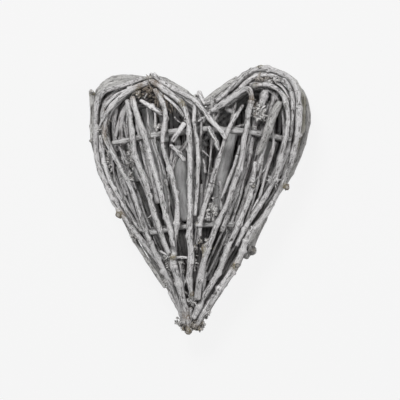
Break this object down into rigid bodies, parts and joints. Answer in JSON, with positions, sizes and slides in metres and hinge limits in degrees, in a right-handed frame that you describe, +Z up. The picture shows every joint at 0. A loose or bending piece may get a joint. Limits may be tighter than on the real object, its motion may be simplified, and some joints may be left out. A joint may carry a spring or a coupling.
{
  "type": "rattan heart",
  "caption": "Hollow, plump heart ornament woven loosely from dry, whitewashed rattan twigs that run from its tip over both lobes",
  "frame": {"origin": "centre of the bounding box's bottom, on the surface that the heart lies on", "axes": "+Z up, away from the back; +Y towards the lobes, -Y towards the tip; +X to the right lobe"},
  "size_m": [0.2475, 0.2991, 0.0818],
  "materials": {
    "whitewashed_bark": "matt, weathered",
    "rim_bark": "matt, weathered",
    "crossbar_bark": "matt, weathered",
    "inner_bark": "matt, weathered",
    "back_bark": "matt, weathered"
  },
  "bodies": {
    "root": {"left_rim_twig": "rim_bark", "left_side_twig": "whitewashed_bark", "left_side_inner_twig": "whitewashed_bark", "left_arch_twig": "whitewashed_bark", "left_long_twig": "whitewashed_bark", "left_middle_twig": "whitewashed_bark", "left_ringed_twig": "whitewashed_bark", "left_trunk_twig": "whitewashed_bark", "left_thin_shoot": "whitewashed_bark", "left_stub_shoot": "whitewashed_bark", "left_short_shoot": "whitewashed_bark", "middle_long_twig": "whitewashed_bark", "middle_inner_strand": "whitewashed_bark", "middle_knotted_twig": "whitewashed_bark", "notch_crossing_twig": "whitewashed_bark", "left_back_edge_twig": "rim_bark", "right_side_twig": "whitewashed_bark", "right_lower_side_twig": "whitewashed_bark", "right_inner_side_twig": "whitewashed_bark", "right_bent_twig": "whitewashed_bark", "right_parallel_strand": "whitewashed_bark", "right_outer_twig": "whitewashed_bark", "right_lower_long_twig": "whitewashed_bark", "right_middle_twig": "whitewashed_bark", "right_fork_shoot": "whitewashed_bark", "right_smooth_twig": "whitewashed_bark", "right_short_twig": "inner_bark", "right_blunt_twig": "inner_bark", "right_top_edge_twig": "rim_bark", "right_rim_twig": "rim_bark", "right_inner_rim_twig": "rim_bark", "right_lower_rim_twig": "rim_bark", "left_upper_crossbar": "crossbar_bark", "right_upper_crossbar": "crossbar_bark", "lower_crossbar": "crossbar_bark", "back_upper_crossbar": "crossbar_bark", "back_lower_crossbar": "crossbar_bark", "left_inner_twig": "inner_bark", "left_back_rim_twig": "rim_bark", "left_lower_rim_twig": "rim_bark", "back_left_twig_1": "back_bark", "back_left_twig_2": "back_bark", "back_left_twig_3": "back_bark", "back_left_twig_4": "back_bark", "back_left_twig_5": "back_bark", "back_left_twig_6": "back_bark", "back_middle_twig_1": "back_bark", "back_middle_twig_2": "back_bark", "back_middle_twig_3": "back_bark", "back_right_twig_6": "back_bark", "back_right_twig_5": "back_bark", "back_right_twig_4": "back_bark", "back_right_twig_3": "back_bark", "back_right_twig_2": "back_bark", "back_right_twig_1": "back_bark"}
  },
  "joints": []
}
